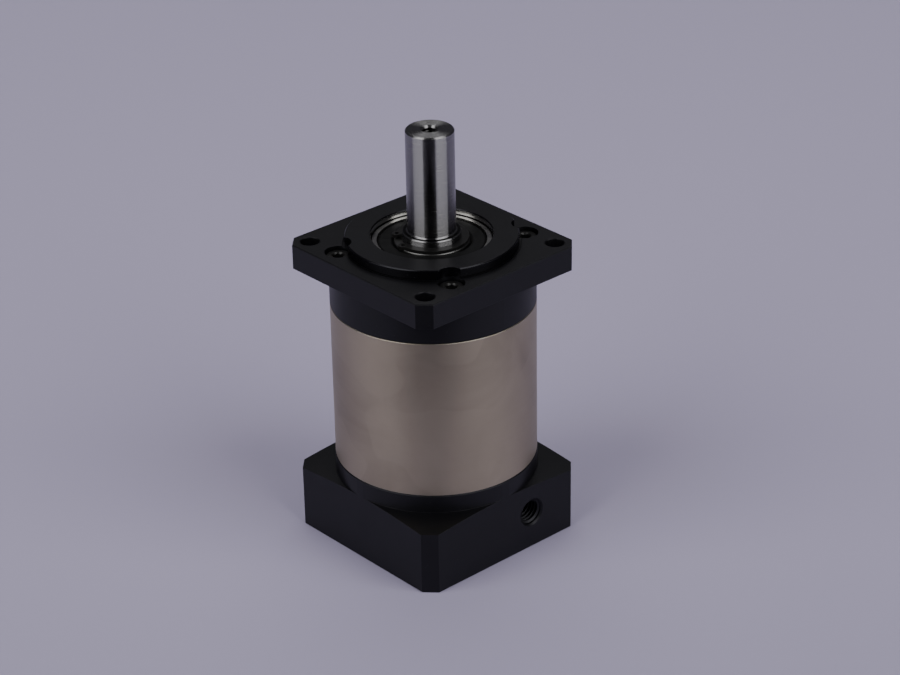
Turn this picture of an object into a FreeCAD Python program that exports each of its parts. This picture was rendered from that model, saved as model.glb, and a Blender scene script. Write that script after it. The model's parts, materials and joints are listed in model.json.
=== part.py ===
import FreeCAD
import Part
import Sketcher
import math
import os
import re

# In-line planetary reducer of 60 mm frame: two gear stages between a motor adapter and an output flange.
# The origin is the middle of the motor face, +Z runs up the output shaft, all lengths are millimetres.

SIZES = {
    # outer casing
    "ring_wall": "5.9",
    "side_gap": "0.1",
    "corner_chamfer": "3.55",
    "edge_break": "0.3",
    "ring_break": "0.15",
    "adapter_block": "21",
    "shoulder_slope": "8.5",
    "neck_over": "0.03",
    "adapter_spigot": "2.5",
    "output_neck": "10",
    "flange_thickness": "7.5",
    "boss_diameter": "50",
    "boss_height": "3",
    "relief_width": "0.6",
    "relief_depth": "0.4",
    "spigot_wall": "1.4",
    "seal_width": "1.4",
    "seal_depth": "1",
    "seal_inset": "0.8",
    "end_gap": "0.3",
    "bore_gap": "0.2",
    # output shaft
    "shaft_diameter": "14",
    "shaft_projection": "35",
    "shaft_chamfer": "0.4",
    "shaft_root": "0.4",
    "shaft_shoulder": "0.6",
    "shoulder_step": "2",
    "collar_rise": "1",
    "shaft_tap_diameter": "4.2",
    "shaft_tap_depth": "12.5",
    "shaft_countersink": "5.4",
    # output bearings
    "output_bearing_bore": "17",
    "output_bearing_section": "9",
    "output_bearing_width": "10",
    "output_ball_count": "10",
    "bearing_recess": "1.9",
    "bearing_rib": "4.1",
    "rib_depth": "3",
    "spacer_wall": "1.8",
    # input bearing
    "input_bearing_bore": "17",
    "input_bearing_section": "6.5",
    "input_bearing_width": "7",
    "input_ball_count": "12",
    # details shared by the bearings and retaining rings
    "ball_share": "0.53",
    "ball_gap": "0.06",
    "bearing_chamfer": "0.4",
    "seal_step": "1.6",
    "seal_sink": "0.35",
    "seal_rest": "0.25",
    "race_break": "0.2",
    "seal_lip": "0.5",
    "seal_rim": "0.8",
    "circlip_thickness": "1",
    "circlip_width": "2.6",
    "circlip_groove": "0.4",
    "circlip_lug": "1.35",
    "circlip_opening": "19.5",
    "inner_opening": "12",
    "shaft_circlip_angle": "241",
    # gears
    "gear_module": "0.8",
    "sun_teeth": "18",
    "planet_teeth": "18",
    "pressure_angle": "20",
    "backlash": "0.08",
    "addendum": "1",
    "ring_addendum": "0.8",
    "dedendum": "1.25",
    "stage_one_width": "10",
    "stage_two_width": "12",
    # planet carriers
    "carrier_gap": "0.95",
    "window_gap": "0.7",
    "stage_gap": "0.6",
    "axial_play": "0.1",
    "stage_one_plate": "2",
    "stage_one_disc": "5",
    "stage_two_plate": "3",
    "stage_two_disc": "4.8",
    "pin_diameter": "5",
    "pin_play": "0.03",
    "pin_setback": "1",
    "bush_wall": "1.5",
    "washer_thickness": "0.5",
    "washer_diameter": "9",
    "sun_shank_diameter": "10",
    "sun_neck_step": "0.3",
    # fasteners
    "flange_hole_circle": "70",
    "flange_hole_diameter": "5.5",
    "flange_hole_chamfer": "0.2",
    "screw_bias": "0.25",
    "screw_offset_angle": "14.5",
    "screw_diameter": "4",
    "screw_length": "20",
    "screw_clearance": "0.2",
    "screw_engagement": "8",
    "tap_runout": "2",
    "head_diameter": "7",
    "head_height": "4",
    "head_sink": "1",
    "head_clearance": "0.4",
    "hex_socket": "3",
    "hex_depth": "2.2",
    # motor side
    "motor_pilot_diameter": "38.1",
    "motor_pilot_depth": "2.5",
    "motor_hole_spacing": "47.14",
    "motor_tap_diameter": "4.2",
    "motor_tap_depth": "12",
    "motor_shaft_bore": "8",
    "motor_bore_end": "6.5",
    "chamber_gap": "2",
    "web_gap": "2",
    "hub_diameter": "15",
    "hub_lip": "1",
    "hub_shoulder": "2.3",
    "hub_step": "1.5",
    "hub_slot": "1.5",
    "hub_slot_rest": "2.5",
    "hub_chamfer": "0.5",
    "clamp_height": "11.7",
    "clamp_screw_wall": "0.9",
    "clamp_ring_width": "11",
    "clamp_edge": "3.6",
    "clamp_slit": "2",
    "clamp_screw_length": "16",
    "clamp_head_seat": "6",
    "clamp_head_clearance": "0.15",
    "access_diameter": "8",
    "access_chamfer": "0.53",
}

# Radii and levels that follow from the sizes above. Cuts run one millimetre past the faces they open.
LEVELS = {
    "boss_radius": "boss_diameter / 2",
    "shaft_radius": "shaft_diameter / 2",
    # gear radii
    "sun_count": "round(sun_teeth)",
    "planet_count": "round(planet_teeth)",
    "ring_count": "sun_count + 2 * planet_count",
    "centre_distance": "gear_module * (sun_count + planet_count) / 2",
    "sun_pitch_radius": "gear_module * sun_count / 2",
    "planet_pitch_radius": "gear_module * planet_count / 2",
    "ring_pitch_radius": "gear_module * ring_count / 2",
    "sun_tip_radius": "sun_pitch_radius + addendum * gear_module",
    "sun_root_radius": "sun_pitch_radius - dedendum * gear_module",
    "planet_tip_radius": "planet_pitch_radius + addendum * gear_module",
    "planet_root_radius": "planet_pitch_radius - dedendum * gear_module",
    "ring_tip_radius": "ring_pitch_radius - ring_addendum * gear_module",
    "ring_root_radius": "ring_pitch_radius + dedendum * gear_module",
    "spigot_radius": "ring_root_radius + spigot_wall",
    "body_radius": "spigot_radius + ring_wall",
    "half_side": "body_radius + side_gap",
    "half_flat": "half_side - corner_chamfer",
    "neck_radius": "half_side + neck_over",
    "carrier_radius": "ring_tip_radius - carrier_gap",
    "window_radius": "planet_tip_radius + window_gap",
    "sun_bore_radius": "sun_tip_radius + window_gap",
    "pin_radius": "pin_diameter / 2",
    "bush_bore_radius": "pin_radius + pin_play",
    "bush_radius": "pin_radius + bush_wall",
    # planets sit at the tooth positions nearest to even spacing
    "planet_step": "180 / (sun_count + planet_count)",
    "planet_angle_two": "round(2 * (sun_count + planet_count) / 3) * planet_step",
    "planet_angle_three": "round(4 * (sun_count + planet_count) / 3) * planet_step",
    # levels up the axis
    "clamp_bottom": "clamp_height - clamp_ring_width / 2",
    "clamp_top": "clamp_height + clamp_ring_width / 2",
    "hub_bottom": "clamp_bottom - hub_lip",
    "chamber_top": "clamp_top + end_gap",
    "seat_floor": "clamp_top + hub_shoulder",
    "adapter_top": "seat_floor + input_bearing_width",
    "spigot_top": "adapter_top + adapter_spigot",
    "carrier_one_bottom": "spigot_top + stage_gap",
    "plate_one_top": "carrier_one_bottom + stage_one_plate",
    "planet_one_bottom": "plate_one_top + washer_thickness + axial_play",
    "planet_one_top": "planet_one_bottom + stage_one_width",
    "disc_one_bottom": "planet_one_top + axial_play + washer_thickness",
    "disc_one_top": "disc_one_bottom + stage_one_disc",
    "carrier_two_bottom": "disc_one_top + stage_gap",
    "plate_two_top": "carrier_two_bottom + stage_two_plate",
    "planet_two_bottom": "plate_two_top + washer_thickness + axial_play",
    "planet_two_top": "planet_two_bottom + stage_two_width",
    "disc_two_bottom": "planet_two_top + axial_play + washer_thickness",
    "disc_two_top": "disc_two_bottom + stage_two_disc",
    "rear_bottom": "disc_two_top + shaft_shoulder",
    "rear_top": "rear_bottom + output_bearing_width",
    "front_bottom": "rear_top + bearing_rib",
    "front_top": "front_bottom + output_bearing_width",
    "boss_top": "front_top + bearing_recess",
    "flange_top": "boss_top - boss_height",
    "flange_bottom": "flange_top - flange_thickness",
    "ring_top": "flange_bottom - output_neck",
    "shaft_top": "flange_top + shaft_projection",
    "collar_top": "boss_top + collar_rise",
    "out_spigot_bottom": "rear_bottom + end_gap",
    "ring_bore_bottom": "spigot_top + bore_gap",
    "ring_bore_top": "out_spigot_bottom - bore_gap",
    "adapter_seal_bottom": "adapter_top + (adapter_spigot - seal_width) / 2",
    "output_seal_bottom": "ring_top - seal_width - seal_inset",
    # bearing radii
    "output_bore_radius": "output_bearing_bore / 2",
    "output_seat_radius": "output_bore_radius + output_bearing_section",
    "input_bore_radius": "input_bearing_bore / 2",
    "input_seat_radius": "input_bore_radius + input_bearing_section",
    "output_ball_diameter": "ball_share * output_bearing_section",
    "input_ball_diameter": "ball_share * input_bearing_section",
    "rib_radius": "output_seat_radius - rib_depth",
    "hub_shoulder_radius": "input_bore_radius + hub_step",
    "web_radius": "hub_shoulder_radius + web_gap",
    # fastener positions
    "flange_hole_reach": "flange_hole_circle / 2 * cos(45)",
    "motor_hole_reach": "motor_hole_spacing / 2",
    "screw_reach": "spigot_radius + ring_wall / 2 + screw_bias",
    "screw_x": "screw_reach * cos(45 + screw_offset_angle)",
    "screw_y": "screw_reach * sin(45 + screw_offset_angle)",
    "screw_radius": "screw_diameter / 2",
    "screw_hole_radius": "screw_radius + screw_clearance",
    "head_radius": "head_diameter / 2",
    "head_pocket_radius": "head_radius + head_clearance",
    "head_floor": "flange_top - head_sink - head_height",
    "adapter_seat": "adapter_top + screw_engagement - screw_length",
    "access_radius": "access_diameter / 2",
    "clamp_offset": "hub_diameter / 2 + clamp_screw_wall + screw_radius",
    "clamp_ring_radius": "clamp_offset + screw_radius + clamp_edge",
    "clamp_head_radius": "head_radius + clamp_head_clearance",
    "chamber_radius": "clamp_ring_radius + chamber_gap",
}

doc = FreeCAD.newDocument("planetary_reducer")
nodes = {}


def ref(text, home=""):
    """Put the sheet's name before every size a formula uses."""
    def swap(match):
        word = match.group(0)
        if word in SIZES:
            return "Sizes." + word
        return home + word if word in LEVELS else word
    return re.sub(r"[a-z_]+", swap, text)


def fill_sheet(name, rows):
    sheet = doc.addObject("Spreadsheet::Sheet", name)
    for row, (alias, text) in enumerate(rows.items(), 1):
        sheet.set(f"A{row}", alias)
        sheet.set(f"B{row}", text)
        sheet.setAlias(f"B{row}", alias)
    doc.recompute()
    return sheet


sizes = fill_sheet("Sizes", SIZES)
levels = fill_sheet("Levels", {alias: "=" + ref(text) for alias, text in LEVELS.items()})


def size(text):
    return float(sizes.evalExpression(ref(text, "Levels.")))


def bind(thing, path, text):
    thing.setExpression(path, ref(text, "Levels."))


def vector(x, y, z=0.0):
    return FreeCAD.Vector(x, y, z)


# Sketches and features of the turned and milled pieces. Points nearer than this count as one.

NEAR = 1e-6


def new_body(label):
    body = doc.addObject("PartDesign::Body", label)
    body.Label = label
    return body


def new_sketch(body, name, role="XY_Plane", lift=None):
    sketch = body.newObject("Sketcher::SketchObject", f"{body.Name}_{name}")
    plane = next(item for item in body.Origin.OriginFeatures if item.Role == role)
    sketch.AttachmentSupport = [(plane, "")]
    sketch.MapMode = "FlatFace"
    if lift:
        bind(sketch, "AttachmentOffset.Base.z", lift)
    return sketch


def name_constraint(sketch, number, name, text):
    sketch.renameConstraint(number, name)
    bind(sketch, f"Constraints.{name}", text)


def hold_point(sketch, item, corner, point):
    for kind, axis, text in zip(("DistanceX", "DistanceY"), "xy", point):
        rule = Sketcher.Constraint(kind, -1, 1, item, corner, size(text))
        name_constraint(sketch, sketch.addConstraint(rule), f"item{item}{axis}", text)


def add_polygon(sketch, points):
    first = sketch.GeometryCount
    count = len(points)
    corners = [vector(size(x), size(y)) for x, y in points]
    for step in range(count):
        sketch.addGeometry(Part.LineSegment(corners[step], corners[(step + 1) % count]), False)
    for step in range(count):
        follow = first + (step + 1) % count
        sketch.addConstraint(Sketcher.Constraint("Coincident", first + step, 2, follow, 1))
    for step in range(count):
        hold_point(sketch, first + step, 1, points[step])


def add_circle(sketch, x, y, radius):
    circle = Part.Circle(vector(size(x), size(y)), vector(0, 0, 1), size(radius))
    item = sketch.addGeometry(circle, False)
    hold_point(sketch, item, 3, (x, y))
    number = sketch.addConstraint(Sketcher.Constraint("Radius", item, size(radius)))
    name_constraint(sketch, number, f"item{item}radius", radius)


def new_feature(body, kind, name, sketch):
    feature = body.newObject("PartDesign::" + kind, f"{body.Name}_{name}")
    feature.Profile = sketch
    return feature


def pad(body, name, sketch, length):
    feature = new_feature(body, "Pad", name, sketch)
    bind(feature, "Length", length)
    return feature


def pocket_up(body, name, sketch, depth):
    feature = new_feature(body, "Pocket", name, sketch)
    feature.Reversed = True
    bind(feature, "Length", depth)
    return feature


def turn(body, name, points, kind="Revolution"):
    sketch = new_sketch(body, name + "_profile", "XZ_Plane")
    add_polygon(sketch, points)
    feature = new_feature(body, kind, name, sketch)
    feature.ReferenceAxis = (sketch, ["V_Axis"])
    feature.Angle = 360
    return feature


def turned_ring(label, inner, outer, bottom, top, chamfer=None):
    body = new_body(label)
    points = [(inner, bottom), (outer, bottom), (outer, top), (inner, top)]
    if chamfer:
        points = [(inner, bottom), (f"{outer} - {chamfer}", bottom), (outer, f"{bottom} + {chamfer}"),
                  (outer, f"{top} - {chamfer}"), (f"{outer} - {chamfer}", top), (inner, top)]
    turn(body, "ring", points)
    return body


def race_groove(body, x, z, radius):
    sketch = new_sketch(body, "race_profile", "XZ_Plane")
    add_circle(sketch, x, z, radius)
    feature = new_feature(body, "Groove", "race", sketch)
    feature.ReferenceAxis = (sketch, ["V_Axis"])
    feature.Angle = 360


def four_holes(body, name, x, y, radius, bottom, depth):
    sketch = new_sketch(body, name + "_circles", "XY_Plane", bottom)
    for here in ((x, y), (f"-{y}", x), (f"-{x}", f"-{y}"), (y, f"-{x}")):
        add_circle(sketch, *here, radius)
    pocket_up(body, name, sketch, depth)


def break_rims(body, name, radius, level, width):
    """Chamfer the circular edges of one radius at one level."""
    doc.recompute()
    base, height, reach = body.Tip, size(level), size(radius)
    chosen = [f"Edge{number}" for number, edge in enumerate(base.Shape.Edges, 1)
              if abs(getattr(edge.Curve, "Radius", 0) - reach) < NEAR
              and all(abs(corner.Z - height) < NEAR for corner in edge.Vertexes)]
    chamfer_edges(body, name, base, chosen, width)


def chamfer_edges(body, name, base, chosen, width):
    chamfer = body.newObject("PartDesign::Chamfer", f"{body.Name}_{name}")
    chamfer.Base = (base, chosen)
    bind(chamfer, "Size", width)


def planet_holes(body, name, radius, bottom, depth):
    sketch = new_sketch(body, name + "_circles", "XY_Plane", bottom)
    for angle in PLANET_ANGLES:
        add_circle(sketch, f"centre_distance * cos({angle})", f"centre_distance * sin({angle})", radius)
    pocket_up(body, name, sketch, depth)


def square_block(body, bottom, height, broken_level):
    sketch = new_sketch(body, "square", "XY_Plane", bottom)
    side, flat = "half_side", "half_flat"
    add_polygon(sketch, [(f"-{side}", f"-{flat}"), (f"-{flat}", f"-{side}"), (flat, f"-{side}"),
                         (side, f"-{flat}"), (side, flat), (flat, side), (f"-{flat}", side),
                         (f"-{side}", flat)])
    block = pad(body, "block", sketch, height)
    doc.recompute()
    level = size(broken_level)
    chosen = [f"Edge{number}" for number, edge in enumerate(block.Shape.Edges, 1)
              if all(abs(corner.Z - level) < NEAR for corner in edge.Vertexes)]
    chamfer_edges(body, "edge_break", block, chosen, "edge_break")


PLANET_ANGLES = ("0", "planet_angle_two", "planet_angle_three")


def keep(label, thing):
    thing.Label = label
    nodes[label] = thing
    return thing


def solid_feature(label, shape):
    feature = doc.addObject("Part::Feature", label)
    feature.Shape = shape
    return feature


def cylinder(name, radius, height, x="0", y="0", z="0"):
    shape = doc.addObject("Part::Cylinder", name)
    bind(shape, "Radius", radius)
    bind(shape, "Height", height)
    for axis, text in zip("xyz", (x, y, z)):
        bind(shape, f"Placement.Base.{axis}", text)
    return shape


def cut(label, base, tool):
    feature = doc.addObject("Part::Cut", label)
    feature.Base = base
    feature.Tool = tool
    return feature


def group(label, members):
    feature = doc.addObject("Part::Compound", label)
    feature.Links = members
    return feature


def tube(name, inner, outer, height, x="0", y="0", z="0"):
    wall = cylinder(name + "_wall", outer, height, x, y, z)
    hole = cylinder(name + "_hole", inner, height, x, y, z)
    return cut(name, wall, hole)


# Casing: motor adapter, ring gear housing and output flange

def motor_adapter():
    body = new_body("motor_adapter")
    square_block(body, "0", "adapter_top", "0")
    far = "2 * half_side"
    turn(body, "neck", [
        (far, f"adapter_block - ({far} - neck_radius) * tan(shoulder_slope)"),
        (far, "adapter_top + 1"), ("neck_radius - edge_break - 1", "adapter_top + 1"),
        ("neck_radius", "adapter_top - edge_break"), ("neck_radius", "adapter_block")], "Groove")
    turn(body, "spigot", [
        ("0", "adapter_block"), ("spigot_radius", "adapter_block"), ("spigot_radius", "adapter_seal_bottom"),
        ("spigot_radius - seal_depth", "adapter_seal_bottom"),
        ("spigot_radius - seal_depth", "adapter_seal_bottom + seal_width"),
        ("spigot_radius", "adapter_seal_bottom + seal_width"),
        ("spigot_radius", "spigot_top"), ("0", "spigot_top")])
    turn(body, "bore", [
        ("0", "-1"), ("motor_pilot_diameter / 2", "-1"),
        ("motor_pilot_diameter / 2", "motor_pilot_depth"), ("chamber_radius", "motor_pilot_depth"),
        ("chamber_radius", "chamber_top"), ("web_radius", "chamber_top"),
        ("web_radius", "seat_floor"), ("input_seat_radius", "seat_floor"),
        ("input_seat_radius", "adapter_top"), ("input_seat_radius + circlip_groove", "adapter_top"),
        ("input_seat_radius + circlip_groove", "adapter_top + circlip_thickness"),
        ("input_seat_radius", "adapter_top + circlip_thickness"),
        ("input_seat_radius", "spigot_top + 1"), ("0", "spigot_top + 1")], "Groove")
    four_holes(body, "motor_taps", "motor_hole_reach", "motor_hole_reach",
               "motor_tap_diameter / 2", "0", "motor_tap_depth")
    four_holes(body, "head_pockets", "screw_x", "screw_y", "head_pocket_radius", "0", "adapter_seat")
    four_holes(body, "screw_holes", "screw_x", "screw_y", "screw_hole_radius", "0", "spigot_top + 1")
    access_hole(body)
    keep("motor_adapter", body)


def access_hole(body):
    sketch = new_sketch(body, "access_profile", "XY_Plane", "clamp_height")
    rim = "half_side - access_chamfer"
    add_polygon(sketch, [
        ("chamber_radius / 2", "clamp_offset"), ("half_side + 1", "clamp_offset"),
        ("half_side + 1", "clamp_offset + access_radius + access_chamfer + 1"),
        (rim, "clamp_offset + access_radius"), ("chamber_radius / 2", "clamp_offset + access_radius")])
    offset, reach = size("clamp_offset"), size("half_side")
    item = sketch.addGeometry(Part.LineSegment(vector(0, offset), vector(reach, offset)), True)
    hold_point(sketch, item, 1, ("0", "clamp_offset"))
    sketch.addConstraint(Sketcher.Constraint("Horizontal", item))
    number = sketch.addConstraint(Sketcher.Constraint("Distance", item, reach))
    name_constraint(sketch, number, "axis_length", "half_side")
    feature = new_feature(body, "Groove", "access_hole", sketch)
    feature.ReferenceAxis = (sketch, ["Axis0"])
    feature.Angle = 360


def involute(radius, base):
    angle = math.acos(base / radius)
    return math.tan(angle) - angle


def gear_wire(teeth, tip, root, thicker, phase=0.0):
    """Outline of a spur gear whose flanks are arcs through three points of the involute."""
    module = size("gear_module")
    alpha = math.radians(size("pressure_angle"))
    pitch = module * teeth / 2
    base = pitch * math.cos(alpha)
    half_pitch = (math.pi * module / 2 + thicker) / (2 * pitch) + math.tan(alpha) - alpha
    start = max(base, root)
    radii = (start, (start + tip) / 2, tip)
    halves = [half_pitch - involute(radius, base) for radius in radii]
    edges = []

    def spot(radius, angle):
        return vector(radius * math.cos(angle), radius * math.sin(angle))

    for tooth in range(teeth):
        middle = phase + 2 * math.pi * tooth / teeth
        following = middle + 2 * math.pi / teeth
        rising = [spot(radius, middle - half) for radius, half in zip(radii, halves)]
        falling = [spot(radius, middle + half) for radius, half in zip(radii, halves)]
        foot_up, foot_down = spot(root, middle - halves[0]), spot(root, middle + halves[0])
        next_foot = spot(root, following - halves[0])
        if start > root:
            edges.append(Part.makeLine(foot_up, rising[0]))
        edges.append(Part.Arc(*rising).toShape())
        edges.append(Part.Arc(rising[2], spot(tip, middle), falling[2]).toShape())
        edges.append(Part.Arc(*reversed(falling)).toShape())
        if start > root:
            edges.append(Part.makeLine(falling[0], foot_down))
        valley = spot(root, middle + math.pi / teeth)
        edges.append(Part.Arc(foot_down, valley, next_foot).toShape())
    return Part.Wire(edges)


def gear_solid(wire, bottom, top):
    face = Part.Face(wire)
    face.translate(vector(0, 0, bottom))
    return face.extrude(vector(0, 0, top - bottom))


def ring_gear_housing():
    body = new_body("ring_blank")
    inside, outside = "ring_tip_radius", "body_radius"
    turn(body, "tube", [
        (inside, "ring_bore_bottom"), ("spigot_radius", "ring_bore_bottom"), ("spigot_radius", "adapter_top"),
        (f"{outside} - ring_break", "adapter_top"), (outside, "adapter_top + ring_break"),
        (outside, "ring_top - ring_break"), (f"{outside} - ring_break", "ring_top"),
        ("spigot_radius", "ring_top"), ("spigot_radius", "ring_bore_top"), (inside, "ring_bore_top")])
    four_holes(body, "lower_taps", "screw_x", "screw_y", "screw_radius", "adapter_top",
               "screw_engagement + tap_runout")
    four_holes(body, "upper_taps", "screw_x", "screw_y", "screw_radius",
               "head_floor - screw_length - tap_runout", "2 * half_side")
    wire = gear_wire(round(size("ring_count")), size("ring_root_radius"), size("ring_tip_radius"),
                     size("backlash"), ring_phase())
    spaces = gear_solid(wire, size("ring_bore_bottom") - 1, size("ring_bore_top") + 1)
    keep("ring_gear_housing", cut("ring_gear_housing", body, solid_feature("ring_tooth_spaces", spaces)))


def output_housing():
    body = new_body("output_housing")
    square_block(body, "flange_bottom", "flange_thickness", "flange_top")
    turn(body, "neck", [
        ("0", "out_spigot_bottom"), ("spigot_radius", "out_spigot_bottom"),
        ("spigot_radius", "output_seal_bottom"), ("spigot_radius - seal_depth", "output_seal_bottom"),
        ("spigot_radius - seal_depth", "output_seal_bottom + seal_width"),
        ("spigot_radius", "output_seal_bottom + seal_width"), ("spigot_radius", "ring_top"),
        ("body_radius - edge_break", "ring_top"), ("body_radius", "ring_top + edge_break"),
        ("body_radius", "flange_bottom"), ("boss_radius", "flange_bottom"),
        ("boss_radius", "boss_top - edge_break"), ("boss_radius - edge_break", "boss_top"),
        ("0", "boss_top")])
    turn(body, "bore", [
        ("0", "out_spigot_bottom - 1"), ("output_seat_radius", "out_spigot_bottom - 1"),
        ("output_seat_radius", "rear_top"), ("rib_radius", "rear_top"), ("rib_radius", "front_bottom"),
        ("output_seat_radius", "front_bottom"), ("output_seat_radius", "boss_top - edge_break"),
        ("output_seat_radius + edge_break + 1", "boss_top + 1"), ("0", "boss_top + 1")], "Groove")
    turn(body, "boss_relief", [
        ("boss_radius", "flange_top - relief_depth"),
        ("boss_radius + relief_width", "flange_top - relief_depth"),
        ("boss_radius + relief_width", "flange_top + 1"), ("boss_radius", "flange_top + 1")], "Groove")
    four_holes(body, "flange_holes", "flange_hole_reach", "flange_hole_reach",
               "flange_hole_diameter / 2", "flange_bottom - 1", "flange_thickness + 2")
    break_rims(body, "hole_rims", "flange_hole_diameter / 2", "flange_top", "flange_hole_chamfer")
    four_holes(body, "head_pockets", "screw_x", "screw_y", "head_pocket_radius", "head_floor",
               "2 * half_side")
    four_holes(body, "screw_holes", "screw_x", "screw_y", "screw_hole_radius", "out_spigot_bottom - 1",
               "2 * half_side")
    keep("output_housing", body)


# Socket-head screws: one turned pattern each, copied to its places

def cap_screw(name, length):
    body = new_body(name)
    turn(body, "screw", [
        ("0", f"-{length}"), ("screw_radius - edge_break", f"-{length}"),
        ("screw_radius", f"edge_break - {length}"), ("screw_radius", "0"),
        ("head_radius", "0"), ("head_radius", "head_height - edge_break"),
        ("head_radius - edge_break", "head_height"), ("0", "head_height")])
    sketch = new_sketch(body, "hexagon", "XY_Plane", "head_height - hex_depth")
    corner = "hex_socket / 2 / cos(30)"
    add_polygon(sketch, [(f"{corner} * cos({angle})", f"{corner} * sin({angle})")
                         for angle in range(0, 360, 60)])
    pocket_up(body, "socket", sketch, "hex_depth + 1")
    doc.recompute()
    return body.Shape


def screw_places(level, flipped):
    turn_over = FreeCAD.Rotation(vector(1, 0, 0), 180 if flipped else 0)
    x, y = size("screw_x"), size("screw_y")
    for here in ((x, y), (-y, x), (-x, -y), (y, -x)):
        yield FreeCAD.Placement(vector(*here, level), turn_over)


def copies(shape, places):
    moved = []
    for place in places:
        copy = shape.copy()
        copy.Placement = place
        moved.append(copy)
    return Part.makeCompound(moved)


def fasteners():
    long_screw = cap_screw("casing_screw", "screw_length")
    flange_set = copies(long_screw, screw_places(size("head_floor"), False))
    adapter_set = copies(long_screw, screw_places(size("adapter_seat"), True))
    keep("flange_screws", solid_feature("flange_screws", flange_set))
    keep("adapter_screws", solid_feature("adapter_screws", adapter_set))
    short_screw = cap_screw("clamp_screw_pattern", "clamp_screw_length")
    along_x = FreeCAD.Rotation(vector(0, 1, 0), 90)
    seat = vector(size("clamp_head_seat"), size("clamp_offset"), size("clamp_height"))
    keep("clamp_screw", solid_feature("clamp_screw", copies(short_screw, [FreeCAD.Placement(seat, along_x)])))


# Bearings: shares of the ball diameter set the lands, the seal edges and the cage

OUTER_LAND = 0.38
INNER_LAND = 0.32
SEAL_SEAT = 0.595
SEAL_LAND = 0.44
SEAL_INNER = 0.42
CAGE_HALF_WIDTH = 0.165
CAGE_BACK = 0.675
CAGE_FINGER = 0.25


def bearing(prefix, kind, bottom, top, crown):
    bore, seat, ball = f"{kind}_bore_radius", f"{kind}_seat_radius", f"{kind}_ball_diameter"
    pitch, middle = f"({bore} + {seat}) / 2", f"({bottom} + {top}) / 2"
    outer_land, inner_land = f"{pitch} + {OUTER_LAND} * {ball}", f"{pitch} - {INNER_LAND} * {ball}"
    seal_seat, seal_land = f"{pitch} + {SEAL_SEAT} * {ball}", f"{pitch} - {SEAL_LAND} * {ball}"
    low, high = f"{bottom} + seal_step", f"{top} - seal_step"
    outer = turned_ring(f"{prefix}_outer_race", outer_land, seat, bottom, top, "bearing_chamfer")
    for name, start, end in (("lower_seat", f"{bottom} - 1", low), ("upper_seat", high, f"{top} + 1")):
        turn(outer, name, [
            ("0", start), (seal_seat, start), (seal_seat, end), ("0", end)], "Groove")
    race_groove(outer, pitch, middle, f"{ball} / 2 + ball_gap")
    keep(f"{prefix}_outer_race", outer)
    inner = new_body(f"{prefix}_inner_race")
    turn(inner, "ring", [
        (bore, bottom), (f"{seal_land} - race_break", bottom), (seal_land, f"{bottom} + race_break"),
        (seal_land, low), (inner_land, low), (inner_land, high), (seal_land, high),
        (seal_land, f"{top} - race_break"), (f"{seal_land} - race_break", top), (bore, top)])
    race_groove(inner, pitch, middle, f"{ball} / 2 + ball_gap")
    keep(f"{prefix}_inner_race", inner)
    balls_and_cage(prefix, kind, size(pitch), size(middle), crown)


def balls_and_cage(prefix, kind, pitch, middle, crown):
    count = round(size(f"{kind}_ball_count"))
    ball = size(f"{kind}_ball_diameter")
    places = [vector(pitch * math.cos(angle), pitch * math.sin(angle), middle)
              for angle in (2 * math.pi * step / count for step in range(count))]
    balls = Part.makeCompound([Part.makeSphere(ball / 2, place) for place in places])
    keep(f"{prefix}_balls", solid_feature(f"{prefix}_balls", balls))
    below, above = (CAGE_FINGER, CAGE_BACK) if crown > 0 else (CAGE_BACK, CAGE_FINGER)
    floor, height = vector(0, 0, middle - below * ball), (below + above) * ball
    ring = Part.makeCylinder(pitch + CAGE_HALF_WIDTH * ball, height, floor)
    ring = ring.cut(Part.makeCylinder(pitch - CAGE_HALF_WIDTH * ball, height, floor))
    pockets = [Part.makeSphere(ball / 2 + size("ball_gap"), place) for place in places]
    keep(f"{prefix}_cage", solid_feature(f"{prefix}_cage", ring.cut(pockets)))


def seal_disc(label, kind, end, inward, outward):
    """Rubber ring with sloping edges, its rim resting on the seat in the outer race."""
    pitch = f"({kind}_bore_radius + {kind}_seat_radius) / 2"
    ball = f"{kind}_ball_diameter"
    inner, outer = f"{pitch} - {SEAL_INNER} * {ball}", f"{pitch} + {SEAL_SEAT} * {ball}"
    land = f"{pitch} + {OUTER_LAND} * {ball}"
    root, face = f"{end} {inward} seal_step", f"{end} {inward} seal_sink"
    underside, edge = f"{root} {outward} seal_rest", f"{face} {inward} seal_lip"
    body = new_body(label)
    turn(body, "disc", [
        (inner, underside), (land, underside), (land, root), (outer, root), (outer, edge),
        (f"{outer} - seal_rim", face), (f"{inner} + seal_rim", face), (inner, edge)])
    keep(label, body)


# Retaining rings: shares of the lug radius set the lug places and holes

LUG_INSET = 0.35
LUG_SPREAD = 0.6
LUG_HOLE = 0.45


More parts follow.
